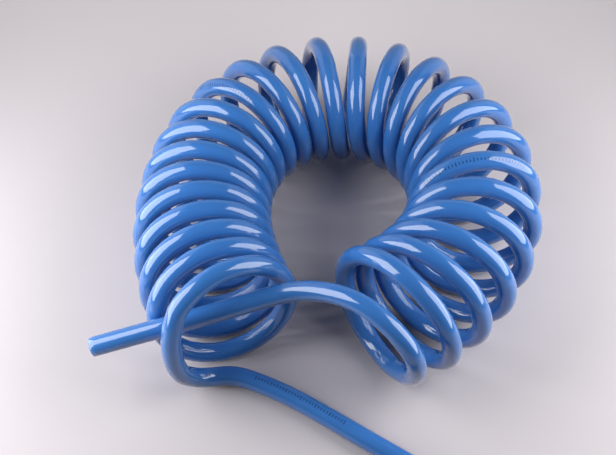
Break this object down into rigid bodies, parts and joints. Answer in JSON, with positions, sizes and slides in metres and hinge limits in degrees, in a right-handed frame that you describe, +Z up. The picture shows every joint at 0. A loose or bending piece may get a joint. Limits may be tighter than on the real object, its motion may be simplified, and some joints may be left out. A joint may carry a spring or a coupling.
{
  "type": "coiled air hose",
  "caption": "Coiled polyurethane air hose bent into a horseshoe, with two plain tails and open cut ends.",
  "frame": {"origin": "on the surface the hose lies on, under the middle of its box", "axes": "+Z up, +Y from the open side of the horseshoe towards its closed side, +X to the right seen from the open side"},
  "size_m": [0.2308, 0.2742, 0.0778],
  "materials": {
    "tube": "gloss, slightly translucent"
  },
  "bodies": {
    "root": {"coil": "tube", "threaded_tail": "tube", "threaded_end": "tube", "floor_tail": "tube", "floor_end": "tube"}
  },
  "joints": []
}
